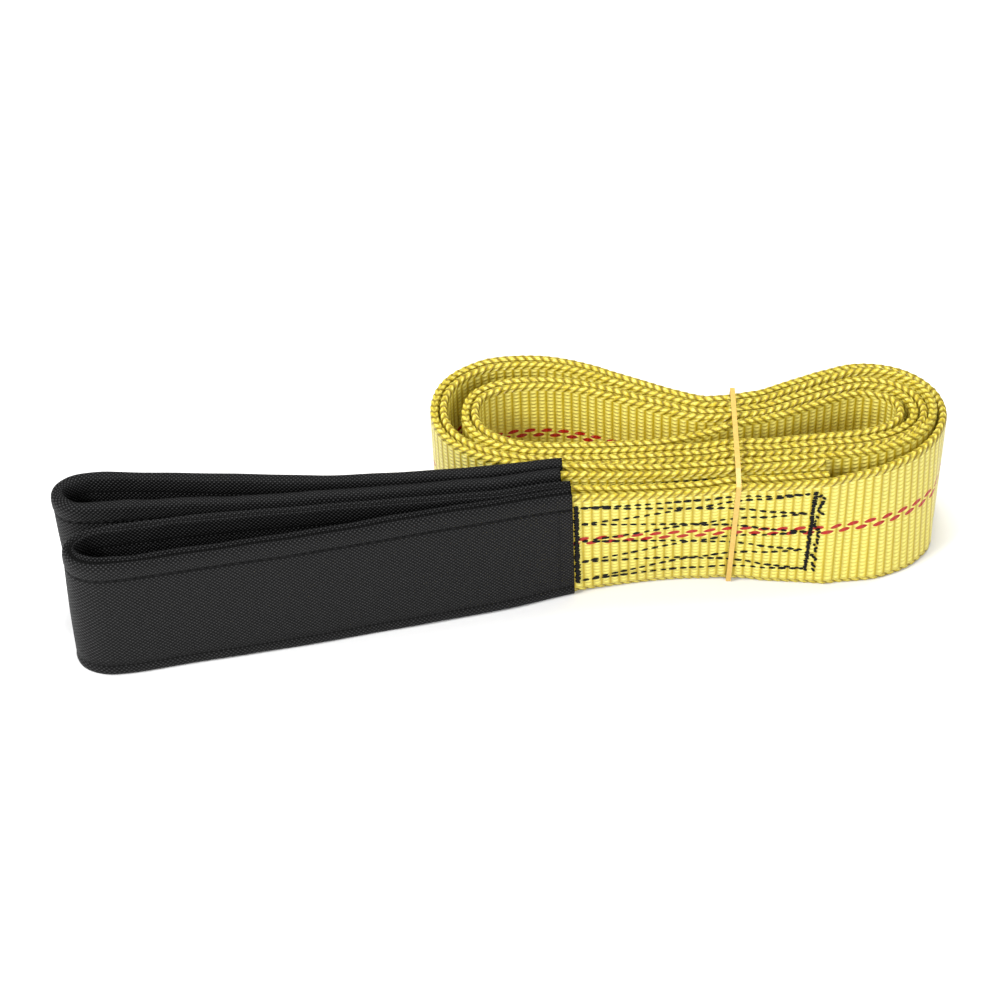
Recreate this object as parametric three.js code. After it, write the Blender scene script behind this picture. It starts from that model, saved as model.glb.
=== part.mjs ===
// A flat webbing tow strap with a sleeved eye loop at each end, folded in half and wound into a flat coil.
// Units are millimetres and +Z is up. The webbing stands on its edge, and the eyes lie towards -X.
import * as THREE from 'three';

const WIDTH = 50;              // of the webbing: its height here, as it stands on edge
const THICK = 3.1;
const GAP = 0.3;               // kept between surfaces that touch

const CLOTH = 0.35;            // sleeve cloth
const SLEEVE_GAP = 0.3;        // between the webbing and its sleeve
const SLEEVE_LIFT = CLOTH + SLEEVE_GAP;   // the webbing stands this high inside a sleeve
const LIFT_RUN = 20;           // and comes down to the floor over this length
const MOUTH_A_X = -13.6;       // where both legs of the front sleeve end
const MOUTH_B_X = -17.4;       // and of the back sleeve

const RAISE_B = 2.5;           // the half whose eye lies behind stands this much higher
const RAISE_B_END = 690;       // down to this far along it from its cut end
const RAISE_B_RUN = 110;       // and comes down over this length
const EYE_REACH = 520;         // from a cut end round its eye and back past the sleeve's mouth
const CUT_END_X = 78.5;        // where the folded-back end of the first half is cut

const BAND_WIDE = 1.8;         // rubber band
const BAND_THICK = 0.5;
const BAND_X = 45.7;           // where it goes round the coil
const BAND_CREEP = 1.8;        // its lower run lies this much nearer the eyes
const BAND_RISE = BAND_THICK + GAP;       // the webbing stands on it here
const RISE_RUN = 12;

const FOOTPRINT_MIDDLE = [-35.9, -5.575];   // moved to the origin at the end

// The line between the two innermost layers of the coil, once round, anticlockwise from above.
const RING = [
  [-32.7, 1.8], [-10.9, 1.0], [10.9, 2.1], [32, 4.0], [54.5, 6.3], [76.6, 9.0], [92, 10.8],
  [102.5, 14.5], [108.6, 20.0], [109.4, 27.0], [106.0, 33.2], [100.2, 36.9], [93.6, 38.2],
  [86.0, 36.6], [70.9, 29.9], [57.5, 23.6], [45, 20.2], [33.3, 20.4], [18.6, 25.3],
  [3.7, 31.4], [-11.3, 36.9], [-26.3, 38.9], [-41.3, 36.7], [-49.4, 31.0], [-51.8, 22.0],
  [-50.0, 14.2], [-43.8, 6.9],
];

// How far outward of that line each half of the strap lies, as [station, distance]. A station is a
// point of RING, and the count runs on after each turn. The first half starts at its splice.
const LANE_A = [
  [2, 26.5], [5, 26.1], [6, 22.0], [7, 17.8], [8, 14.4], [9, 13.2], [11, 11.4], [13, 9.3], [16, 8.8],
  [18, 9.2], [19.5, 10.6], [21, 14.5], [22, 15.8], [23, 14.8], [24, 13.4], [25, 12.1], [26, 10.3],
  [27, 8.8], [31, 8.8], [34, 7.8], [35.5, 6.8], [38, 3.3], [40, 1.9], [43, 1.8], [58, 1.75],
  [61, 0.4], [62, -1.3], [64, -3.6], [65, -5.0], [67, -5.4], [68.6, -5.4],
];
const LANE_B = [
  [2.2, 14.8], [5, 14.6], [6, 13.5], [7, 12.1], [8, 10.5], [9, 9.7], [11, 7.9], [13, 5.8], [16, 5.3],
  [18, 5.7], [19.5, 7.1], [21, 11.0], [22, 12.3], [23, 11.3], [24, 9.9], [25, 8.6], [26, 6.8],
  [27, 5.3], [31, 5.3], [34, 4.3], [35.5, 3.3], [38, -0.3], [40, -1.6], [43, -1.7], [56.2, -1.75],
];

// Past the fold at the strap's middle the second half crosses the open middle of the coil.
const CROSSING = [[46, 14.0], [37, 10.5], [28, 7.4], [20, 4.9]];

// From the cut end of each half, round its eye, to where it meets the coil.
const EYE_A = [
  [CUT_END_X, -13.3], [60, -15.4], [40, -17.7], [20, -19.9], [0, -20.9], [-17.7, -22.1],
  [-38.9, -26.9], [-59.9, -29.3], [-91.3, -33.2], [-133.5, -38.3], [-160, -42.6], [-176, -45.8],
  [-183.2, -48.9], [-186.2, -54.0], [-183.4, -59.6], [-177, -62.3], [-169, -61.9], [-147.2, -57.4],
  [-113.2, -50.3], [-79.3, -41.8], [-59, -36.7], [-38, -31.8], [-17.7, -27.1], [-4, -25.5],
];
const EYE_B = [
  [CUT_END_X - 1.2, -9.3], [60, -11.4], [40, -13.6], [20, -15.9], [0, -16.5], [-17.7, -17.2],
  [-38.9, -22.0], [-59.9, -24.5], [-91.3, -28.4], [-120, -31.4], [-151.3, -33.4], [-180, -35.2],
  [-189, -34.9], [-193.6, -31.4], [-194.2, -26.2], [-190.4, -21.8], [-182, -19.9], [-171.8, -19.7],
  [-150.2, -20.1], [-128.6, -20.9], [-107.2, -21.4], [-85.8, -20.6], [-64.4, -18.9],
  [-41.3, -15.9], [-18.4, -12.3], [-4, -12.0],
];

// The lower edges lie off the upper ones: drawn in by the band, spread at the far end.
const DRAWN_IN = { at: 22, run: 40, by: 7.5 };
const SPREAD = { at: 112, run: 32, by: -6.8 };
const FAR_END = { from: 85, over: 25, out: 1.5 };              // and out to the right there
const FRONT_BIGHT = { from: -125, over: 50, out: -2.6, near: -1.6 };   // and at the front eye's end
const FRONT_Y = 5;             // the whole of it nearer than this
const BACK_Y = 15;             // and none of it farther than this

const FINEST = 1.2;            // the sections along the webbing stand this far apart at least
const COARSEST = 9;
const CHORD_ERROR = 0.03;      // how far a straight between sections may leave the curve

const YELLOW = { color: 0xe3cf52, roughness: 0.8, metalness: 0 };
const BLACK = { color: 0x1c1c1e, roughness: 0.9, metalness: 0 };
const AMBER = { color: 0xdcb566, roughness: 0.6, metalness: 0 };

const smooth = (t) => {
  const k = Math.min(Math.max(t, 0), 1);
  return k * k * (3 - 2 * k);
};

const bell = (x, { at, run, by }) => by * Math.exp(-(((x - at) / run) ** 2));

const flatCurve = (points, closed = false) =>
  new THREE.CatmullRomCurve3(points.map(([x, y]) => new THREE.Vector3(x, y, 0)), closed);

function laneDistance(lane, station) {
  const next = Math.max(lane.findIndex(([s]) => s >= station), 1);
  const [s0, d0] = lane[next - 1];
  const [s1, d1] = lane[next];
  return THREE.MathUtils.mapLinear(station, s0, s1, d0, d1);
}

// Points of a lane, four to a station.
function lanePoints(ring, lane) {
  const first = lane[0][0];
  const count = Math.round((lane.at(-1)[0] - first) * 4) + 1;
  return Array.from({ length: count }, (_, i) => {
    const station = first + i / 4;
    const t = (station % RING.length) / RING.length;
    const at = ring.getPoint(t);
    const along = ring.getTangent(t);
    const out = laneDistance(lane, station);
    return [at.x + along.y * out, at.y - along.x * out];
  });
}

// The upper edge's route in plan, from the cut end of the first half to that of the second.
function strapRoute() {
  const ring = flatCurve(RING, true);
  const route = flatCurve([
    ...EYE_A, ...lanePoints(ring, LANE_A), ...CROSSING,
    ...lanePoints(ring, LANE_B).reverse(), ...EYE_B.toReversed(),
  ]);
  route.arcLengthDivisions = 6000;
  return route;
}

// How far the lower edge lies off the upper one, along X and Y.
function leanAt({ x, y }, atFrontEye) {
  const share = smooth((BACK_Y - y) / (BACK_Y - FRONT_Y));
  const far = smooth((x - FAR_END.from) / FAR_END.over) * share;
  const bight = atFrontEye ? smooth((FRONT_BIGHT.from - x) / FRONT_BIGHT.over) : 0;
  return [
    FAR_END.out * far + FRONT_BIGHT.out * bight,
    (bell(x, DRAWN_IN) + bell(x, SPREAD)) * share + FRONT_BIGHT.near * bight,
  ];
}

// How high the lower edge stands, by place and by the lengths of strap to either cut end.
function heightAt({ x }, fromA, fromB) {
  const overBand = BAND_RISE * smooth((RISE_RUN - Math.abs(x - BAND_X)) / RISE_RUN * 1.4);
  const raised = RAISE_B * smooth((RAISE_B_END - fromB) / RAISE_B_RUN);
  const mouth = fromA < fromB ? MOUTH_A_X : MOUTH_B_X;
  const atEye = Math.min(fromA, fromB) < EYE_REACH;
  const inSleeve = atEye ? SLEEVE_LIFT * smooth((mouth + LIFT_RUN - x) / LIFT_RUN) : 0;
  return Math.max(overBand, raised) + inSleeve;
}

function radiusAt(route, u, du) {
  const turn = route.getTangentAt(Math.max(u - du, 0)).angleTo(route.getTangentAt(Math.min(u + du, 1)));
  return 2 * du * route.getLength() / Math.max(turn, 1e-4);
}

// Places along the route, closer together where it bends tighter.
function places(route) {
  const length = route.getLength();
  const list = [];
  let run = 0;
  while (run < length) {
    list.push(run);
    const step = Math.sqrt(8 * CHORD_ERROR * radiusAt(route, run / length, 1 / length));
    run += THREE.MathUtils.clamp(step, FINEST, COARSEST);
  }
  if (length - list.at(-1) < FINEST) list.pop();
  return [...list, length];
}

// Each section: the middle of the lower and of the upper edge, and the way across the webbing at each.
function sectionsOf(route) {
  const length = route.getLength();
  const runs = places(route);
  const upper = runs.map((run) => route.getPointAt(run / length));
  const lower = upper.map((p, i) => {
    const [aside, back] = leanAt(p, runs[i] < EYE_REACH);
    return new THREE.Vector3(p.x + aside, p.y + back, heightAt(p, runs[i], length - runs[i]));
  });
  upper.forEach((p, i) => p.setZ(lower[i].z + WIDTH));
  const across = (line, i) => {
    const along = line[Math.min(i + 1, line.length - 1)].clone().sub(line[Math.max(i - 1, 0)]);
    return new THREE.Vector3(along.y, -along.x, 0).normalize();
  };
  return runs.map((run, i) => ({
    run, lower: lower[i], upper: upper[i], acrossLower: across(lower, i), acrossUpper: across(upper, i),
  }));
}

// The four corners of a section whose sides stand off the webbing's middle, top and bottom by these.
function corners({ lower, upper, acrossLower, acrossUpper }, side, rim) {
  const low = lower.clone().setZ(lower.z - rim);
  const high = upper.clone().setZ(upper.z + rim);
  return [
    low.clone().addScaledVector(acrossLower, side), high.clone().addScaledVector(acrossUpper, side),
    high.clone().addScaledVector(acrossUpper, -side), low.clone().addScaledVector(acrossLower, -side),
  ];
}

// Faces between rings of points; turned over where the surface is an inner one.
function skin(rings, { closed = false, inner = false } = {}) {
  const faces = [];
  const last = closed ? rings.length : rings.length - 1;
  for (let i = 0; i < last; i += 1) {
    const [a, b] = [rings[i], rings[(i + 1) % rings.length]];
    a.forEach((p, k) => {
      const n = (k + 1) % a.length;
      faces.push(inner ? [p, a[n], b[n], b[k]] : [p, b[k], b[n], a[n]]);
    });
  }
  return faces;
}

// Faces that close the space between two rings of points.
const rimFaces = (outer, inner) => outer.map((p, k) => {
  const n = (k + 1) % outer.length;
  return [p, inner[k], inner[n], outer[n]];
});

function bodyOf(faces) {
  const corner = faces.flatMap(([a, b, c, d]) => [a, b, c, a, c, d]);
  const geometry = new THREE.BufferGeometry().setFromPoints(corner);
  geometry.computeVertexNormals();
  return geometry;
}

function webbing(sections) {
  const rings = sections.map((s) => corners(s, THICK / 2, 0));
  return bodyOf([...skin(rings), rings[0], rings.at(-1).toReversed()]);
}

// A tube of cloth round the webbing, open at both ends.
function sleeve(sections) {
  const inner = sections.map((s) => corners(s, THICK / 2 + SLEEVE_GAP, SLEEVE_GAP));
  const outer = sections.map((s) => corners(s, THICK / 2 + SLEEVE_GAP + CLOTH, SLEEVE_GAP + CLOTH));
  return bodyOf([
    ...skin(outer), ...skin(inner, { inner: true }),
    ...rimFaces(inner[0], outer[0]), ...rimFaces(outer.at(-1), inner.at(-1)),
  ]);
}

// The sections of one eye that lie farther left than the sleeve's mouth.
const inEye = (sections, mouth, distance) =>
  sections.filter((s) => distance(s) < EYE_REACH && s.upper.x < mouth);

// Where the band touches: the outline of the coil in the band's own plane, as [y, z].
function coilOutline(sections) {
  const near = sections.filter((s) => Math.abs(s.upper.x - BAND_X) < COARSEST * 0.6);
  const edge = (end, pick) => pick(...near.map((s) => s[end].y + (pick === Math.max ? 1 : -1) * THICK / 2));
  const tops = near.map((s) => [s.upper.y, s.upper.z]);
  const top = Math.max(...tops.map(([, z]) => z));
  const high = tops.filter(([, z]) => z > top - 0.1).map(([y]) => y);
  const rim = WIDTH + BAND_RISE;
  return [
    [edge('lower', Math.min), BAND_RISE], [edge('upper', Math.min), rim],
    [Math.min(...high) - THICK / 2, top], [Math.max(...high) + THICK / 2, top],
    [edge('upper', Math.max), rim], [edge('lower', Math.max), BAND_RISE],
  ];
}

// A closed band that hugs the outline, rounded at each of its corners.
function rubberBand(sections) {
  const outline = coilOutline(sections);
  const rings = [];
  outline.forEach((p, i) => {
    const before = outline.at(i - 1);
    const after = outline[(i + 1) % outline.length];
    const outward = ([y0, z0], [y1, z1]) => Math.atan2(y1 - y0, z0 - z1);
    const from = outward(before, p);
    let to = outward(p, after);
    while (to > from) to -= 2 * Math.PI;
    const steps = Math.max(2, Math.ceil((from - to) / 0.25));
    for (let k = 0; k <= steps; k += 1) {
      const angle = from + (to - from) * k / steps;
      const spot = (off) => [p[0] + Math.cos(angle) * off, p[1] + Math.sin(angle) * off];
      const x = BAND_X - BAND_CREEP * (1 - Math.min(Math.max(p[1] / WIDTH, 0), 1));
      rings.push([GAP, GAP + BAND_THICK].flatMap((off, side) => {
        const [y, z] = spot(off);
        const pair = [-1, 1].map((end) => new THREE.Vector3(x + end * BAND_WIDE / 2, y, z));
        return side ? pair.reverse() : pair;
      }));
    }
  });
  return bodyOf(skin(rings, { closed: true }));
}

function part(name, geometry, look) {
  const mesh = new THREE.Mesh(geometry, new THREE.MeshStandardMaterial(look));
  mesh.name = name;
  return mesh;
}

function strap() {
  const sections = sectionsOf(strapRoute());
  const length = sections.at(-1).run;
  const group = new THREE.Group();
  group.add(
    part('webbing', webbing(sections), YELLOW),
    part('sleeve_front', sleeve(inEye(sections, MOUTH_A_X, (s) => s.run)), BLACK),
    part('sleeve_back', sleeve(inEye(sections, MOUTH_B_X, (s) => length - s.run)), BLACK),
    part('rubber_band', rubberBand(sections), AMBER),
  );
  group.position.set(-FOOTPRINT_MIDDLE[0], -FOOTPRINT_MIDDLE[1], 0);
  return group;
}

export default strap();
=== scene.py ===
"""The tow strap, dressed: woven yellow webbing, black sleeves, the splices' thread and the rubber band.

Every cloth piece is made flat, in millimetres, as x along the strap, y out of its face and z up its
width. It is then wound onto the strap's route, the same one that the solids follow.
"""
import math
import random

import bmesh
import bpy
import numpy as np
from mathutils import Matrix, Vector


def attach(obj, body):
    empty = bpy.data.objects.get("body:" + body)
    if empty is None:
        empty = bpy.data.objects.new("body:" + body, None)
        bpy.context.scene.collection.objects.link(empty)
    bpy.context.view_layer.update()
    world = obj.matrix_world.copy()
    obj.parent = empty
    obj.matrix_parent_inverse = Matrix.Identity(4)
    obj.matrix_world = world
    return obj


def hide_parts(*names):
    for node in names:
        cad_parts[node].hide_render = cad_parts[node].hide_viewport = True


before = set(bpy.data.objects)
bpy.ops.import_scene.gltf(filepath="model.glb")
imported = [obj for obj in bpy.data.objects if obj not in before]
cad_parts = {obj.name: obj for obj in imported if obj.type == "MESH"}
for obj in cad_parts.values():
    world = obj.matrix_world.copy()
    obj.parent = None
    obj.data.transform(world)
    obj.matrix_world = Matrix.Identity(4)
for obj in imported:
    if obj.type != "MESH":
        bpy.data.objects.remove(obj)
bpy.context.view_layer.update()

MM = 0.001

# The strap's route, in millimetres, as the solids have it.
WIDTH = 50
THICK = 3.1
CLOTH = 0.35
SLEEVE_GAP = 0.3
SLEEVE_LIFT = CLOTH + SLEEVE_GAP
LIFT_RUN = 20
MOUTH_A_X = -13.6
MOUTH_B_X = -17.4
RAISE_B = 2.5
RAISE_B_END = 690
RAISE_B_RUN = 110
EYE_REACH = 520                # an eye lies within this length of either end of the strap
EYE_BIGHT = 250                # and its far end about this far from it
CUT_END_X = 78.5
BAND_X = 45.7
BAND_RISE = 0.8
RISE_RUN = 12
RISE_SLOPE = 1.4
FOOTPRINT_MIDDLE = (-35.9, -5.575)
FRONT_Y = 5
BACK_Y = 15
DRAWN_IN = (22, 40, 7.5)       # at, run, by
SPREAD = (112, 32, -6.8)
FAR_END = (85, 25, 1.5)        # from, over, out
FRONT_BIGHT = (-125, 50, -2.6, -1.6)   # from, over, out, near

RING = [
    (-32.7, 1.8), (-10.9, 1.0), (10.9, 2.1), (32, 4.0), (54.5, 6.3), (76.6, 9.0), (92, 10.8),
    (102.5, 14.5), (108.6, 20.0), (109.4, 27.0), (106.0, 33.2), (100.2, 36.9), (93.6, 38.2),
    (86.0, 36.6), (70.9, 29.9), (57.5, 23.6), (45, 20.2), (33.3, 20.4), (18.6, 25.3),
    (3.7, 31.4), (-11.3, 36.9), (-26.3, 38.9), (-41.3, 36.7), (-49.4, 31.0), (-51.8, 22.0),
    (-50.0, 14.2), (-43.8, 6.9),
]
LANE_A = [
    (2, 26.5), (5, 26.1), (6, 22.0), (7, 17.8), (8, 14.4), (9, 13.2), (11, 11.4), (13, 9.3),
    (16, 8.8), (18, 9.2), (19.5, 10.6), (21, 14.5), (22, 15.8), (23, 14.8), (24, 13.4),
    (25, 12.1), (26, 10.3), (27, 8.8), (31, 8.8), (34, 7.8), (35.5, 6.8), (38, 3.3), (40, 1.9),
    (43, 1.8), (58, 1.75), (61, 0.4), (62, -1.3), (64, -3.6), (65, -5.0), (67, -5.4),
    (68.6, -5.4),
]
LANE_B = [
    (2.2, 14.8), (5, 14.6), (6, 13.5), (7, 12.1), (8, 10.5), (9, 9.7), (11, 7.9), (13, 5.8),
    (16, 5.3), (18, 5.7), (19.5, 7.1), (21, 11.0), (22, 12.3), (23, 11.3), (24, 9.9),
    (25, 8.6), (26, 6.8), (27, 5.3), (31, 5.3), (34, 4.3), (35.5, 3.3), (38, -0.3),
    (40, -1.6), (43, -1.7), (56.2, -1.75),
]
FINE = 20                      # places to a station of the ring
TO_STATION = 4                 # points of a lane to a station of the ring
TO_KNOT = 24                   # places of the route to one of its points
CROSSING = [(46, 14.0), (37, 10.5), (28, 7.4), (20, 4.9)]
EYE_A = [
    (CUT_END_X, -13.3), (60, -15.4), (40, -17.7), (20, -19.9), (0, -20.9), (-17.7, -22.1),
    (-38.9, -26.9), (-59.9, -29.3), (-91.3, -33.2), (-133.5, -38.3), (-160, -42.6),
    (-176, -45.8), (-183.2, -48.9), (-186.2, -54.0), (-183.4, -59.6), (-177, -62.3),
    (-169, -61.9), (-147.2, -57.4), (-113.2, -50.3), (-79.3, -41.8), (-59, -36.7),
    (-38, -31.8), (-17.7, -27.1), (-4, -25.5),
]
EYE_B = [
    (CUT_END_X - 1.2, -9.3), (60, -11.4), (40, -13.6), (20, -15.9), (0, -16.5), (-17.7, -17.2),
    (-38.9, -22.0), (-59.9, -24.5), (-91.3, -28.4), (-120, -31.4), (-151.3, -33.4),
    (-180, -35.2), (-189, -34.9), (-193.6, -31.4), (-194.2, -26.2), (-190.4, -21.8),
    (-182, -19.9), (-171.8, -19.7), (-150.2, -20.1), (-128.6, -20.9), (-107.2, -21.4),
    (-85.8, -20.6), (-64.4, -18.9), (-41.3, -15.9), (-18.4, -12.3), (-4, -12.0),
]

# The cloths.
RIB = 3.3                      # pitch of the webbing's ribs, which run up its width
ROW = 1.68                     # pitch of the rows of yarn, which run along it
RIB_DEPTH = 0.08
BRAID_DEPTH = 0.12             # of the loops along its two edges
STEPS_TO_RIB = 4
MARK_MIDDLE = 27.2             # height of the red marker yarns
MARK_APART = 2.3
SLEEVE_STEP = 1.3
SLEEVE_WEAVE = (0.8, 0.76)     # pitch of its yarns along and across
SEAM_HIGH = 44.6               # heights of the sleeve's two long seams
SEAM_LOW = 4.3
HEM = 5.2                      # from the sleeve's end to its hem stitches
SEAM_SUNK = 0.3
SEAM_STITCH = 3.1              # pitch of the stitches in the sleeve's seams

# The splice: five points of thread at either end, and the heights where its lines meet halfway.
SPLICE_LONG = 86.5
SPLICE_LEFT = (44.5, 36.0, 27.0, 16.0, 6.0)
SPLICE_RIGHT = (45.0, 35.5, 26.5, 17.5, 8.0)
SPLICE_MIDDLE = (45.6, 41.5, 32.5, 23.0, 13.5, 7.5)
SPLICE_PITCH = 3.7
SPLICE_STITCH = 3.1            # length of a stitch in its lines
SPLICE_THREAD = 1.35           # and how thick it is
SPLICE_BEND = 22               # from either end of a line to where it bends
BAR_STEP = 0.95                # between the stitches of a bar
BAR_LEAN = 1.6
LOOP_STEP = 1.5                # between the loops beside it
KNOT_HEIGHT = 44.6


def smooth(t):
    k = np.clip(t, 0, 1)
    return k * k * (3 - 2 * k)


def bell(x, at, run, by):
    return by * np.exp(-(((x - at) / run) ** 2))


def spline(points, parts, closed=False):
    """Points and headings along a centripetal curve through the given points."""
    p = np.array(points, float)
    if closed:
        p = np.vstack([p[-1:], p, p[:2]])
    else:
        p = np.vstack([2 * p[0] - p[1], p, 2 * p[-1] - p[-2]])
    a, b, c, d = p[:-3], p[1:-2], p[2:-1], p[3:]
    g0, g1, g2 = (np.sqrt(np.linalg.norm(v - u, axis=1))[:, None] for u, v in ((a, b), (b, c), (c, d)))
    start = ((b - a) / g0 - (c - a) / (g0 + g1) + (c - b) / g1) * g1
    end = ((c - b) / g1 - (d - b) / (g1 + g2) + (d - c) / g2) * g1
    square = -3 * b + 3 * c - 2 * start - end
    cube = 2 * b - 2 * c + start + end
    t = (np.arange(parts) / parts)[None, :, None]
    b, start, square, cube = (m[:, None, :] for m in (b, start, square, cube))
    place = (b + start * t + square * t ** 2 + cube * t ** 3).reshape(-1, 2)
    heading = (start + 2 * square * t + 3 * cube * t ** 2).reshape(-1, 2)
    if not closed:
        place = np.vstack([place, p[-2]])
    return place, heading


def lane_points(lane):
    """Points of a lane beside the ring, as (station, distance out) pairs give it."""
    place, heading = spline(RING, FINE, closed=True)
    stations, distances = zip(*lane)
    at = np.arange(round((stations[-1] - stations[0]) * TO_STATION) + 1) / TO_STATION + stations[0]
    out = np.interp(at, stations, distances)
    i = np.round(at * FINE).astype(int) % len(place)
    along = heading[i] / np.linalg.norm(heading[i], axis=1)[:, None]
    return place[i] + np.stack([along[:, 1], -along[:, 0]], axis=1) * out[:, None]


def across_of(line):
    along = np.gradient(line, axis=0)
    along /= np.linalg.norm(along, axis=1)[:, None]
    return np.stack([along[:, 1], -along[:, 0]], axis=1)


class Route:
    """The webbing's upper and lower edges, by length along the strap."""

    def __init__(self):
        knots = np.vstack([EYE_A, lane_points(LANE_A), CROSSING, lane_points(LANE_B)[::-1], EYE_B[::-1]])
        self.upper, _ = spline(knots, TO_KNOT)
        steps = np.linalg.norm(np.diff(self.upper, axis=0), axis=1)
        self.runs = np.concatenate([[0], np.cumsum(steps)])
        self.length = float(self.runs[-1])
        x, y = self.upper.T
        share = smooth((BACK_Y - y) / (BACK_Y - FRONT_Y))
        far = smooth((x - FAR_END[0]) / FAR_END[1]) * share
        bight = smooth((FRONT_BIGHT[0] - x) / FRONT_BIGHT[1]) * (self.runs < EYE_REACH)
        aside = FAR_END[2] * far + FRONT_BIGHT[2] * bight
        back = (bell(x, *DRAWN_IN) + bell(x, *SPREAD)) * share + FRONT_BIGHT[3] * bight
        self.lower = np.stack([x + aside, y + back], axis=1)
        self.foot = self.height_of(x)
        self.out_upper = across_of(self.upper)
        self.out_lower = across_of(self.lower)

    def height_of(self, x):
        """How high the lower edge stands over the floor."""
        to_end = self.length - self.runs
        over_band = BAND_RISE * smooth((RISE_RUN - np.abs(x - BAND_X)) / RISE_RUN * RISE_SLOPE)
        raised = RAISE_B * smooth((RAISE_B_END - to_end) / RAISE_B_RUN)
        mouth = np.where(self.runs < to_end, MOUTH_A_X, MOUTH_B_X)
        lift = SLEEVE_LIFT * smooth((mouth + LIFT_RUN - x) / LIFT_RUN)
        at_eye = np.minimum(self.runs, to_end) < EYE_REACH
        return np.maximum(over_band, raised) + np.where(at_eye, lift, 0)

    def read(self, table, run):
        return np.stack([np.interp(run, self.runs, column) for column in table.T], axis=1)

    def place(self, flat):
        """Where points of the flat strap, as (along, out, up), come to lie, in metres."""
        run, side, height = flat.T
        share = (height / WIDTH)[:, None]
        plan = self.read(self.lower, run) * (1 - share) + self.read(self.upper, run) * share
        out = self.read(self.out_lower, run) * (1 - share) + self.read(self.out_upper, run) * share
        plan = plan + out / np.linalg.norm(out, axis=1)[:, None] * side[:, None] - FOOTPRINT_MIDDLE
        z = np.interp(run, self.runs, self.foot) + height
        return np.column_stack([plan, z]) * MM

    def run_at(self, x, first, last):
        """The length at which the strap passes x, between two lengths."""
        inside = (self.runs >= first) & (self.runs <= last)
        i = np.flatnonzero(inside)[np.argmin(np.abs(self.upper[inside, 0] - x))]
        return float(self.runs[i])


ROUTE = Route()


# Flat work, and its winding onto the route.

def rolled(start, end, step, outline, seam_of):
    """A flat strip of cloth rolled into a tube of the given outline, as (along, out, up).

    seam_of says for each side of the outline which material it has and the pattern's own
    place across it at either corner.
    """
    bm = bmesh.new()
    rows = max(2, round((end - start) / step))
    around = len(outline)
    bmesh.ops.create_grid(bm, x_segments=rows, y_segments=around, size=0.5)
    uv = bm.loops.layers.uv.new("cloth")
    for face in bm.faces:
        side = int((face.calc_center_median().y + 0.5) * around)
        look, low, high = seam_of(side)
        face.material_index = look
        face.smooth = True
        for loop in face.loops:
            along = start + (loop.vert.co.x + 0.5) * (end - start)
            across = high if (loop.vert.co.y + 0.5) * around > side + 0.5 else low
            loop[uv].uv = (along * MM, across * MM)
    for vert in bm.verts:
        out, up = outline[round((vert.co.y + 0.5) * around) % around]
        vert.co = (start + (vert.co.x + 0.5) * (end - start), out, up)
    bmesh.ops.remove_doubles(bm, verts=bm.verts, dist=1e-4)
    return bm


def flat_points(bm):
    return np.array([vert.co for vert in bm.verts], float)


def wind(bm):
    """Lay a flat mesh along the route."""
    for vert, place in zip(bm.verts, ROUTE.place(flat_points(bm))):
        vert.co = place


def finished(name, bm, materials, stands_for=()):
    """The object made of a mesh, riding on the strap's one body."""
    bmesh.ops.recalc_face_normals(bm, faces=bm.faces)
    mesh = bpy.data.meshes.new(name)
    bm.to_mesh(mesh)
    bm.free()
    for material in materials:
        mesh.materials.append(material)
    piece = bpy.data.objects.new(name, mesh)
    bpy.context.scene.collection.objects.link(piece)
    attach(piece, "root")
    if stands_for:
        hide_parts(*stands_for)
    return piece


# Materials.

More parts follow.
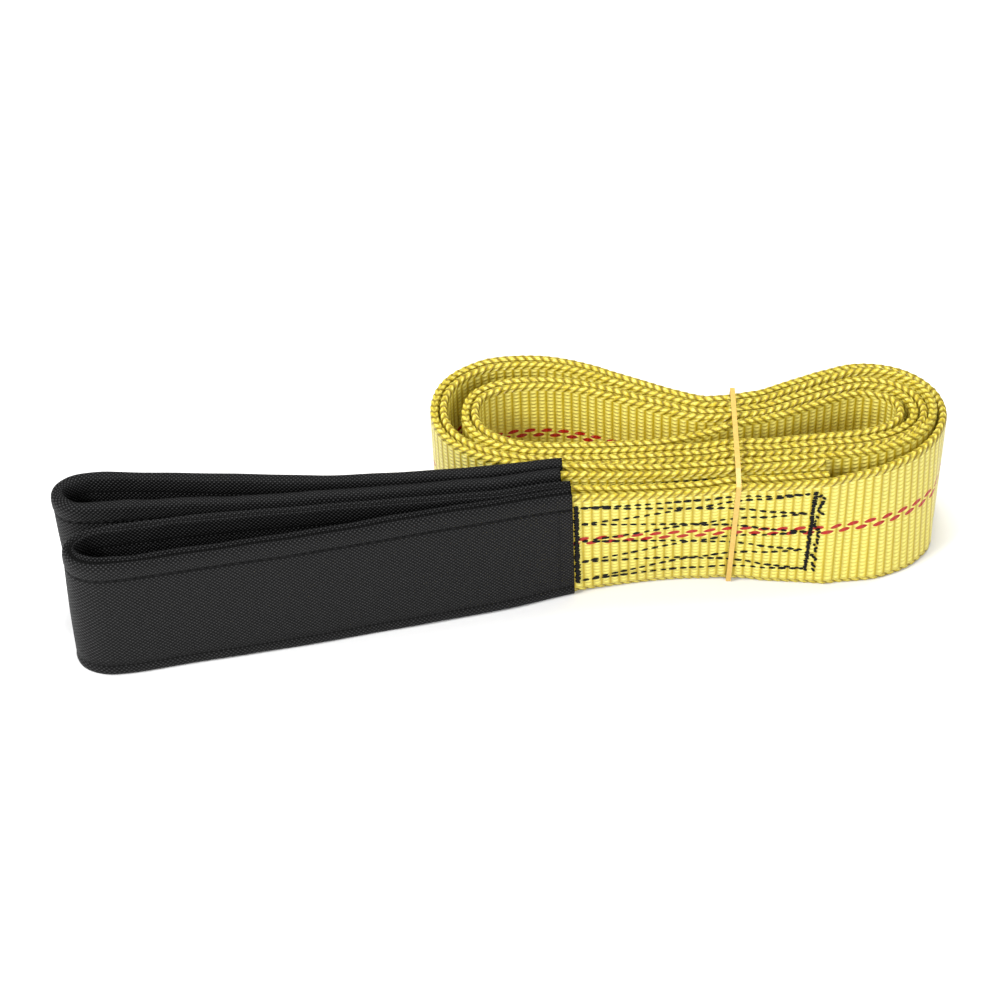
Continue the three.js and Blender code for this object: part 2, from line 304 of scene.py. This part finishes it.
class Nodes:
    """A short way to lay shader nodes."""

    def __init__(self, name):
        self.material = bpy.data.materials.new(name)
        self.material.use_nodes = True
        self.tree = self.material.node_tree
        self.shader = self.tree.nodes["Principled BSDF"]

    def link(self, source, target):
        self.tree.links.new(source, target)

    def math(self, operation, *values, clamp=False):
        node = self.tree.nodes.new("ShaderNodeMath")
        node.operation = operation
        node.use_clamp = clamp
        for socket, value in zip(node.inputs, values):
            if isinstance(value, (int, float)):
                socket.default_value = value
            else:
                self.link(value, socket)
        return node.outputs[0]

    def cloth_place(self):
        """Along and across the cloth, in millimetres."""
        uv = self.tree.nodes.new("ShaderNodeUVMap")
        uv.uv_map = "cloth"
        split = self.tree.nodes.new("ShaderNodeSeparateXYZ")
        self.link(uv.outputs["UV"], split.inputs[0])
        return (self.math("MULTIPLY", split.outputs[0], 1000), self.math("MULTIPLY", split.outputs[1], 1000))

    def noise(self, scale, detail=2.0):
        node = self.tree.nodes.new("ShaderNodeTexNoise")
        node.inputs["Scale"].default_value = scale
        node.inputs["Detail"].default_value = detail
        place = self.tree.nodes.new("ShaderNodeTexCoord")
        self.link(place.outputs["Object"], node.inputs["Vector"])
        return node.outputs["Fac"]

    def lens(self, t, half):
        """One at the middle of a 0 to 1 stretch, falling to nothing this far from it."""
        off = self.math("DIVIDE", self.math("SUBTRACT", t, 0.5), half)
        return self.math("SUBTRACT", 1, self.math("MULTIPLY", off, off), clamp=True)

    def mix(self, share, first, second):
        node = self.tree.nodes.new("ShaderNodeMix")
        node.data_type = "RGBA"
        for socket, value in ((node.inputs[0], share), (node.inputs[6], first), (node.inputs[7], second)):
            if isinstance(value, tuple):
                socket.default_value = (*value, 1)
            elif isinstance(value, (int, float)):
                socket.default_value = value
            else:
                self.link(value, socket)
        return node.outputs[2]

    def bump(self, height, distance):
        node = self.tree.nodes.new("ShaderNodeBump")
        node.inputs["Distance"].default_value = distance
        node.inputs["Strength"].default_value = 1
        self.link(height, node.inputs["Height"])
        self.link(node.outputs[0], self.shader.inputs["Normal"])

    def finish(self, color, roughness, specular=0.5):
        if isinstance(color, tuple):
            self.shader.inputs["Base Color"].default_value = (*color, 1)
        else:
            self.link(color, self.shader.inputs["Base Color"])
        self.shader.inputs["Roughness"].default_value = roughness
        self.shader.inputs["Specular IOR Level"].default_value = specular
        return self.material


YARN = (0.62, 0.49, 0.040)
# Painted highlight on the crowns of the webbing's yarns.
YARN_CROWN_HIGHLIGHT = (0.94, 0.86, 0.22)
# Painted shade in the grooves between the webbing's ribs, also the colour of its random darker patches.
YARN_SHADE_AND_MOTTLE = (0.46, 0.33, 0.010)
EDGE = (0.66, 0.51, 0.030)
# Painted glints on the crowns of the edge loops.
EDGE_GLINT = (0.95, 0.86, 0.17)
# Painted shade between the edge loops, also the colour of their random darker patches.
EDGE_SHADE_AND_MOTTLE = (0.26, 0.17, 0.005)
RED = (0.42, 0.004, 0.0)
# Painted shade in the grooves of the sleeve's weave.
SLEEVE_GROOVE_SHADE = (0.0008, 0.0008, 0.0009)
SLEEVE_YARN = (0.014, 0.014, 0.0145)
# Painted highlight dots on the crowns of the sleeve's weave.
SLEEVE_GLINT = (0.050, 0.050, 0.051)
# Painted shade along the sleeve's sunken seams and in the valley between its two rims.
SEAM_AND_VALLEY_SHADE = (0.0006, 0.0006, 0.0006)


def ribbed_weave(nodes, along, across):
    """How high each yarn crown stands where every row comes up once in each rib."""
    rib_t = nodes.math("FRACT", nodes.math("DIVIDE", along, RIB))
    sag = nodes.math("MULTIPLY", nodes.lens(rib_t, 0.5), 0.35)
    row_t = nodes.math("FRACT", nodes.math("ADD", nodes.math("DIVIDE", across, ROW), sag))
    return nodes.lens(rib_t, 0.44), nodes.lens(row_t, 0.5)


def plain_weave(nodes, along, across, rib, row):
    """How high each yarn crown stands in a weave whose rows pass over every other rib."""
    row_at = nodes.math("DIVIDE", across, row)
    odd = nodes.math("MODULO", nodes.math("FLOOR", row_at), 2)
    shift = nodes.math("MULTIPLY", odd, 0.5)
    t = nodes.math("FRACT", nodes.math("ADD", nodes.math("DIVIDE", along, 2 * rib), shift))
    return nodes.math("MULTIPLY", nodes.lens(t, 0.36), nodes.lens(nodes.math("FRACT", row_at), 0.62))


def marker_yarns(nodes, along, across):
    """Where the two red yarns come up: slanting dashes in two rows, staggered, two ribs apart."""
    share = None
    for k, middle in enumerate((MARK_MIDDLE - MARK_APART / 2, MARK_MIDDLE + MARK_APART / 2)):
        off = nodes.math("SUBTRACT", across, middle)
        slant = nodes.math("SUBTRACT", 0.5 * k, nodes.math("MULTIPLY", off, 0.12))
        t = nodes.math("FRACT", nodes.math("ADD", nodes.math("DIVIDE", along, 2 * RIB), slant))
        upways = nodes.math("DIVIDE", nodes.math("ABSOLUTE", off), 1.0)
        tapered = nodes.math("SUBTRACT", nodes.lens(t, 0.33), nodes.math("MULTIPLY", upways, upways))
        red = nodes.math("MULTIPLY", tapered, 6, clamp=True)
        share = red if share is None else nodes.math("MAXIMUM", share, red)
    return share


def webbing_face():
    nodes = Nodes("yellow_webbing")
    along, across = nodes.cloth_place()
    rib, row = ribbed_weave(nodes, along, across)
    crown = nodes.math("MULTIPLY", rib, nodes.math("ADD", nodes.math("MULTIPLY", row, 0.75), 0.25))
    # Painted shade in the grooves between the ribs, then a painted highlight on the yarn crowns.
    color = nodes.mix(nodes.math("MULTIPLY", rib, 1.9, clamp=True), YARN_SHADE_AND_MOTTLE, YARN)
    color = nodes.mix(crown, color, YARN_CROWN_HIGHLIGHT)
    worn = nodes.math("MULTIPLY", nodes.noise(28), 0.16)
    color = nodes.mix(worn, color, YARN_SHADE_AND_MOTTLE)
    color = nodes.mix(marker_yarns(nodes, along, across), color, RED)
    fibre = nodes.math("MULTIPLY", nodes.noise(1500, 2), 0.12)
    nodes.bump(nodes.math("ADD", crown, fibre), 0.0006)
    return nodes.finish(color, 0.36, specular=0.4)


def webbing_edge():
    """The two rows of slanting loops along each edge of the webbing, with painted shade between the loops
    and painted glints on their crowns.
    """
    nodes = Nodes("yellow_webbing_edge")
    along, across = nodes.cloth_place()
    off = nodes.math("ABSOLUTE", across)
    slant = nodes.math("MULTIPLY", off, 0.26)
    t = nodes.math("FRACT", nodes.math("ADD", nodes.math("DIVIDE", along, RIB), slant))
    loop_up = nodes.lens(t, 0.44)
    ridge = nodes.lens(nodes.math("FRACT", nodes.math("DIVIDE", off, 1.7)), 0.58)
    crown = nodes.math("MULTIPLY", loop_up, nodes.math("ADD", nodes.math("MULTIPLY", ridge, 0.7), 0.3))
    # Painted shade between the loops, then painted glints on their crowns.
    color = nodes.mix(nodes.math("MULTIPLY", crown, 1.7, clamp=True), EDGE_SHADE_AND_MOTTLE, EDGE)
    glint = nodes.math("MULTIPLY", nodes.math("SUBTRACT", nodes.noise(620, 2), 0.38), 4, clamp=True)
    color = nodes.mix(nodes.math("MULTIPLY", crown, glint), color, EDGE_GLINT)
    color = nodes.mix(nodes.math("MULTIPLY", nodes.noise(240), 0.3), color, EDGE_SHADE_AND_MOTTLE)
    fibre = nodes.math("MULTIPLY", nodes.noise(1300, 2), 0.3)
    nodes.bump(nodes.math("ADD", crown, fibre), 0.0009)
    return nodes.finish(color, 0.36, specular=0.4)


def melted_end():
    """The webbing's cut ends, sealed with heat."""
    nodes = Nodes("melted_webbing_end")
    lump = nodes.noise(700, 3)
    nodes.bump(lump, 0.0003)
    return nodes.finish(nodes.mix(lump, (0.20, 0.11, 0.015), (0.55, 0.38, 0.05)), 0.35)


def sleeve_cloth(name, shade_lines):
    """Black cloth in a plain weave, with painted highlight dots on its crowns and painted shade in its
    grooves; its second argument gives lines of painted shade, as (across, half width).
    """
    nodes = Nodes(name)
    along, across = nodes.cloth_place()
    crown = plain_weave(nodes, along, across, *SLEEVE_WEAVE)
    # Painted shade in the grooves, then painted highlight dots on the crowns.
    color = nodes.mix(crown, SLEEVE_GROOVE_SHADE, SLEEVE_YARN)
    dot = nodes.math("MULTIPLY", nodes.math("SUBTRACT", crown, 0.5), 2.4, clamp=True)
    dot = nodes.math("MULTIPLY", dot, nodes.math("ADD", nodes.noise(900, 2), 0.25))
    color = nodes.mix(dot, color, SLEEVE_GLINT)
    # Lines of painted shade along the seams and the valley.
    for middle, half in shade_lines:
        off = nodes.math("ABSOLUTE", nodes.math("SUBTRACT", across, middle))
        near = nodes.math("MULTIPLY", nodes.math("SUBTRACT", half, off), 4, clamp=True)
        color = nodes.mix(near, color, SEAM_AND_VALLEY_SHADE)
    nodes.bump(crown, 0.0005)
    return nodes.finish(color, 0.55, specular=0.12)


def black_thread():
    nodes = Nodes("black_thread")
    crown = nodes.noise(2600, 1)
    color = nodes.mix(crown, (0.002, 0.002, 0.002), (0.010, 0.010, 0.011))
    nodes.bump(crown, 0.0001)
    return nodes.finish(color, 0.6, specular=0.15)


def band_rubber():
    nodes = Nodes("amber_rubber")
    speck = nodes.noise(900, 3)
    color = nodes.mix(speck, (0.55, 0.33, 0.05), (0.74, 0.51, 0.14))
    nodes.bump(speck, 0.00008)
    return nodes.finish(color, 0.4, specular=0.5)


# The webbing.

def webbing_outline():
    """The webbing's section as (out, up), round from the outer face's foot, with rounded edges."""
    half = THICK / 2
    heights = [2.2, 14, 25, 36, 47.8]
    rim = [(half - 0.02, 1.1), (half - 0.3, 0.35), (0.65, 0.02), (0, 0.12)]
    rim = rim + [(-out, up) for out, up in reversed(rim[:-1])]
    face = [(half, up) for up in heights]
    top = [(out, WIDTH - up) for out, up in rim]
    back = [(-out, up) for out, up in reversed(face)]
    foot = [(-out, up) for out, up in rim]
    return face + top + back + foot


def webbing_sides(outline):
    """For each side of the section: its material, and the place across the pattern at its corners."""
    def from_edge(k):
        out, up = outline[k % len(outline)]
        middle = WIDTH if up > WIDTH / 2 else 0
        return math.copysign(abs(out) + max(0, abs(up - middle) - 0.4), out)

    def side_of(k):
        (_, low), (_, high) = outline[k], outline[(k + 1) % len(outline)]
        on_face = 2 < low < WIDTH - 2 and 2 < high < WIDTH - 2
        if on_face:
            return 0, low, high
        return 1, from_edge(k), from_edge(k + 1)

    return side_of


def weave_relief(points):
    """How far each point of the webbing stands out of its plain section: the ribs and the edge loops."""
    run, out, up = points.T
    from_edge = np.minimum(up, WIDTH - up)
    on_face = from_edge > 2
    ribs = -RIB_DEPTH * (0.5 + 0.5 * np.cos(2 * np.pi * run / RIB))
    across = np.abs(out) + from_edge
    loops = BRAID_DEPTH * np.cos(2 * np.pi * (run / RIB + 0.3 * across) - np.pi) - BRAID_DEPTH
    relief = np.where(on_face, ribs, loops)
    moved = points.copy()
    moved[:, 1] += np.where(on_face, np.sign(out) * relief, np.sign(out) * relief * (np.abs(out) > 1))
    moved[:, 2] += np.where(on_face, 0, np.where(up > WIDTH / 2, relief, -relief))
    return moved


def make_webbing():
    outline = webbing_outline()
    bm = rolled(0, ROUTE.length, RIB / STEPS_TO_RIB, outline, webbing_sides(outline))
    ends = bmesh.ops.holes_fill(bm, edges=[e for e in bm.edges if e.is_boundary], sides=0)
    for face in ends["faces"]:
        face.material_index = 2
    for vert, place in zip(bm.verts, weave_relief(flat_points(bm))):
        vert.co = place
    wind(bm)
    looks = [webbing_face(), webbing_edge(), melted_end()]
    piece = finished("woven_webbing", bm, looks, ["webbing"])
    return piece


# The sleeves.

OUTER = THICK / 2 + SLEEVE_GAP + CLOTH
SEAM_CORNERS = (4, 12)         # of the outline, where the two long seams are
VALLEY_CORNERS = (20, 23)      # and where the fold between two rims begins and ends


def sleeve_outline(two_rims):
    """The sleeve's section as (out, up): seams drawn in, and its upper rim in one roll or two."""
    face = [
        (OUTER - 0.1, 0.2), (OUTER + 0.12, 1.0), (OUTER + 0.14, 2.2), (OUTER, 3.1),
        (OUTER - SEAM_SUNK, SEAM_LOW),
        (OUTER - 0.02, 4.3), (OUTER, 8), (OUTER, 16), (OUTER, 25), (OUTER, 34), (OUTER, 42),
        (OUTER - 0.02, SEAM_HIGH - 0.7), (OUTER - SEAM_SUNK, SEAM_HIGH), (OUTER, SEAM_HIGH + 0.6),
        (OUTER + 0.22, SEAM_HIGH + 1.7), (OUTER + 0.22, 49.2), (OUTER, 50.2),
    ]
    if two_rims:
        rim = [(2.1, 50.9), (1.5, 51.35), (0.9, 51.2), (0.45, 50.6), (0.0, 50.35), (-0.75, 50.35),
               (-1.15, 50.7), (-1.4, 51.5), (-1.8, 51.75), (-2.15, 51.3)]
    else:
        rim = [(1.8, 50.9), (1.1, 51.25), (0.4, 51.35), (-0.3, 51.3), (-0.9, 51.15), (-1.7, 50.85)]
    inside = [(-OUTER, 50.2)] + [(-out, up) for out, up in reversed(face[4:-2])]
    inside += [(-OUTER, 2.6), (-OUTER, 0.2)]
    foot = [(-1.5, -0.5), (-0.6, -0.62), (0.6, -0.62), (1.5, -0.5)]
    return face + rim + inside + foot


def puckers(points, start, end, seed):
    """Slack in the cloth: it bellies a little between its seams and creases at the bight."""
    run, out, up = points.T
    middle = (start + end) / 2
    at_bight = np.exp(-(((run - middle) / 45) ** 2))
    on_side = smooth((np.abs(out) - 1.4) / 0.6)
    belly = 0.22 * np.sin(np.pi * np.clip((up - SEAM_LOW) / (SEAM_HIGH - SEAM_LOW), 0, 1))
    waves = 0.10 * np.sin(run / 13 + seed + up / 19) + 0.07 * np.sin(run / 5.3 + 2 * seed - up / 11)
    crease = 0.22 * at_bight * np.sin(run / 2.1 + up / 9 + seed) * (out < 0)
    rim_wave = 0.16 * np.sin(run / 9 + seed) + 0.10 * np.sin(run / 3.7 + 3 * seed)
    moved = points.copy()
    moved[:, 1] += np.sign(out) * on_side * (belly + waves + crease)
    moved[:, 2] += np.where(up > 50, rim_wave * 0.8 + 0.12, 0)
    moved[:, 2] += np.where((up > 50) & (out < -1), 0.35 * at_bight * np.sin(run / 4.1 + seed), 0)
    return moved


def round_of(outline):
    """How far round the outline each of its corners lies, and back at the first one."""
    around = [0.0]
    for (x0, y0), (x1, y1) in zip(outline, outline[1:] + outline[:1]):
        around.append(around[-1] + math.hypot(x1 - x0, y1 - y0))
    return around


def make_sleeve(name, node, start, end, two_rims, seed):
    outline = sleeve_outline(two_rims)
    around = round_of(outline)
    # Lines of painted shade along the two seams and, where there are two rims, in the valley between them.
    shade_lines = [(around[corner], 0.7) for corner in SEAM_CORNERS]
    if two_rims:
        shade_lines.append((sum(around[corner] for corner in VALLEY_CORNERS) / 2, 0.85))
    bm = rolled(start, end, SLEEVE_STEP, outline, lambda k: (0, around[k], around[k + 1]))
    bmesh.ops.recalc_face_normals(bm, faces=bm.faces)
    bmesh.ops.solidify(bm, geom=bm.faces[:], thickness=CLOTH - 0.05)
    for vert, place in zip(bm.verts, puckers(flat_points(bm), start, end, seed)):
        vert.co = place
    wind(bm)
    piece = finished(name, bm, [sleeve_cloth(name + "_cloth", shade_lines)], [node])
    return piece


# Thread.

def stitch(bm, run, out, up, length, rise=0.0, thick=0.8, high=0.35):
    """One stitch on a face: a lozenge of thread that climbs by rise over its length."""
    made = bmesh.ops.create_icosphere(bm, subdivisions=1, radius=0.5)["verts"]
    bmesh.ops.scale(bm, vec=(math.hypot(length, rise), high * 2, thick), verts=made)
    turn = Matrix.Rotation(-math.atan2(rise, length), 3, "Y")
    bmesh.ops.rotate(bm, matrix=turn, verts=made)
    bmesh.ops.translate(bm, vec=(run, out, up), verts=made)


def running_line(bm, line, out, pitch, long, thick, chance):
    """Stitches along a line of (run, up) points, a little uneven as sewn ones are."""
    line = np.array(line, float)
    along = np.concatenate([[0], np.cumsum(np.linalg.norm(np.diff(line, axis=0), axis=1))])
    at = pitch * 0.5
    while at < along[-1]:
        ends = [[np.interp(at + off, along, column) for column in line.T] for off in (-long / 2, long / 2)]
        (run0, up0), (run1, up1) = ends
        size = chance.uniform(0.75, 1.15)
        rise = up1 - up0 + chance.uniform(-0.18, 0.18)
        stitch(bm, (run0 + run1) / 2, out, (up0 + up1) / 2, (run1 - run0) * size, rise, thick * size)
        at += pitch * chance.uniform(0.9, 1.1)


def bar_tack(bm, run, low, high, lean, out, chance):
    """A dense bar of thread across the webbing, leaning by lean over its height."""
    for up in np.arange(low, high, BAR_STEP):
        across = run + lean * (up - low) / (high - low) + chance.uniform(-0.25, 0.25)
        stitch(bm, across, out + 0.1, up + chance.uniform(-0.2, 0.2),
               chance.uniform(1.5, 2.3), chance.uniform(-0.7, 0.7), 1.0, 0.5)


def chain(bm, run, low, high, lean, out, chance):
    """Ragged loops of thread beside a bar."""
    for up in np.arange(low, high, LOOP_STEP):
        across = run + lean * (up - low) / (high - low) + chance.uniform(-0.6, 1.9)
        stitch(bm, across, out + 0.15, up + chance.uniform(-0.4, 0.4),
               chance.uniform(0.9, 2.4), chance.uniform(-1.9, 1.9), 1.2, 0.5)


def sew_splice(bm, start, seed):
    """The black thread that closes an eye, on the webbing's outer face from the sleeve's mouth on."""
    chance = random.Random(seed)
    out = THICK / 2 + 0.02
    for k, (left, right) in enumerate(zip(SPLICE_LEFT, SPLICE_RIGHT)):
        for halfway in SPLICE_MIDDLE[k:k + 2]:
            line = [
                (start + 2.5, left),
                (start + SPLICE_BEND, left + (halfway - left) * 0.42),
                (start + SPLICE_LONG / 2, halfway),
                (start + SPLICE_LONG - SPLICE_BEND, right + (halfway - right) * 0.45),
                (start + SPLICE_LONG - 1, right),
            ]
            running_line(bm, line, out, SPLICE_PITCH, SPLICE_STITCH, SPLICE_THREAD, chance)
    for run in (start + 1.5, start + 1.2):
        bar_tack(bm, run, SPLICE_LEFT[-1] - 0.5, SPLICE_LEFT[0] + 1, 0, out, chance)
    bar_low, bar_high = SPLICE_RIGHT[-1] - 0.5, SPLICE_RIGHT[0] + 0.7
    bar_tack(bm, start + SPLICE_LONG - 0.6, bar_low, bar_high, BAR_LEAN, out, chance)
    chain(bm, start + SPLICE_LONG + 1.1, SPLICE_RIGHT[-1], SPLICE_RIGHT[0], BAR_LEAN, out, chance)
    knot_line = [(start + 3, KNOT_HEIGHT), (start + 14, KNOT_HEIGHT + 0.2)]
    running_line(bm, knot_line, out, 1.3, 2.2, 0.95, chance)
    for _ in range(7):
        stitch(bm, start + 12.5 + chance.uniform(-2.6, 2.6), out + 0.1,
               KNOT_HEIGHT + chance.uniform(-0.8, 0.6), 2.2, chance.uniform(-0.9, 0.9), 0.8, 0.5)


def sew_sleeve(bm, start, end, seed, slack):
    """The seams of a sleeve: one along each edge of its outer side, and a hem at each end.

    slack is the seed of the sleeve's own puckers, which the seams follow.
    """
    chance = random.Random(seed)
    for up in (SEAM_HIGH, SEAM_LOW):
        seam = [(start + HEM, up), (end - HEM, up)]
        running_line(bm, seam, OUTER - SEAM_SUNK, SEAM_STITCH, 2.9, 0.7, chance)
    for run in (start + HEM, end - HEM):
        hem = [(run, SEAM_LOW), (run + 0.01, SEAM_HIGH)]
        running_line(bm, hem, OUTER - 0.05, SEAM_STITCH, 2.8, 0.6, chance)
    for vert, place in zip(bm.verts, puckers(flat_points(bm), start, end, slack)):
        vert.co = place


def make_thread(name, thread, sew, *facts):
    bm = bmesh.new()
    sew(bm, *facts)
    wind(bm)
    for face in bm.faces:
        face.smooth = True
    return finished(name, bm, [thread])


# Camera, light and floor.

CAMERA_PLACE = (0.0359, -0.5894, 0.5603)
CAMERA_TILT = 48               # degrees up from straight down
LENS = 77.8
LENS_SHIFT = -0.11
WORLD_LIGHT = 0.41
SOFTBOXES = (                  # name, place, size, power
    ("softbox_left", (-0.75, -0.45, 0.8), 0.4, 12),
    ("softbox_front", (0.5, -0.95, 0.6), 0.45, 6),
    ("softbox_top", (0.1, 0.3, 1.0), 0.5, 8),
)
LIT_PLACE = (0.03, 0, 0)
FLOOR_SIZE = 4
FLOOR_COLOR = (0.92, 0.92, 0.92)


def set_scene():
    scene = bpy.context.scene
    camera_data = bpy.data.cameras.new("camera")
    camera = bpy.data.objects.new("camera", camera_data)
    scene.collection.objects.link(camera)
    camera.location = CAMERA_PLACE
    camera.rotation_euler = (math.radians(CAMERA_TILT), 0, 0)
    camera_data.lens = LENS
    camera_data.sensor_width = 36
    camera_data.shift_x = LENS_SHIFT
    camera_data.clip_start = 0.01
    scene.camera = camera

    world = bpy.data.worlds.new("studio")
    scene.world = world
    world.use_nodes = True
    world.node_tree.nodes["Background"].inputs[0].default_value = (1, 1, 1, 1)
    world.node_tree.nodes["Background"].inputs[1].default_value = WORLD_LIGHT
    scene.view_settings.view_transform = "Standard"

    for name, place, size, power in SOFTBOXES:
        light_data = bpy.data.lights.new(name, "AREA")
        light_data.size = size
        light_data.energy = power
        light = bpy.data.objects.new(name, light_data)
        light.location = place
        toward = Vector(LIT_PLACE) - Vector(place)
        light.rotation_euler = toward.to_track_quat("-Z", "Y").to_euler()
        scene.collection.objects.link(light)

    bm = bmesh.new()
    bmesh.ops.create_grid(bm, x_segments=1, y_segments=1, size=FLOOR_SIZE)
    mesh = bpy.data.meshes.new("floor")
    bm.to_mesh(mesh)
    bm.free()
    nodes = Nodes("pale_floor")
    mesh.materials.append(nodes.finish(FLOOR_COLOR, 0.9, specular=0.1))
    floor = bpy.data.objects.new("floor", mesh)
    scene.collection.objects.link(floor)


set_scene()
make_webbing()
thread = black_thread()
front = (
    ROUTE.run_at(MOUTH_A_X, 0, EYE_BIGHT),
    ROUTE.run_at(MOUTH_A_X, EYE_BIGHT, EYE_REACH),
)
back = (
    ROUTE.run_at(MOUTH_B_X, ROUTE.length - EYE_REACH, ROUTE.length - EYE_BIGHT),
    ROUTE.run_at(MOUTH_B_X, ROUTE.length - EYE_BIGHT, ROUTE.length),
)
for side, (start, end), two_rims, seed, slack in (
    ("front", front, True, 5, 1.3),
    ("back", back, False, 8, 4.1),
):
    make_sleeve(f"black_sleeve_{side}", f"sleeve_{side}", start, end, two_rims, slack)
    make_thread(f"splice_thread_{side}", thread, sew_splice, end, seed)
    make_thread(f"sleeve_thread_{side}", thread, sew_sleeve, start, end, seed + 1, slack)
rubber = band_rubber()
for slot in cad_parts["rubber_band"].material_slots:
    slot.material = rubber
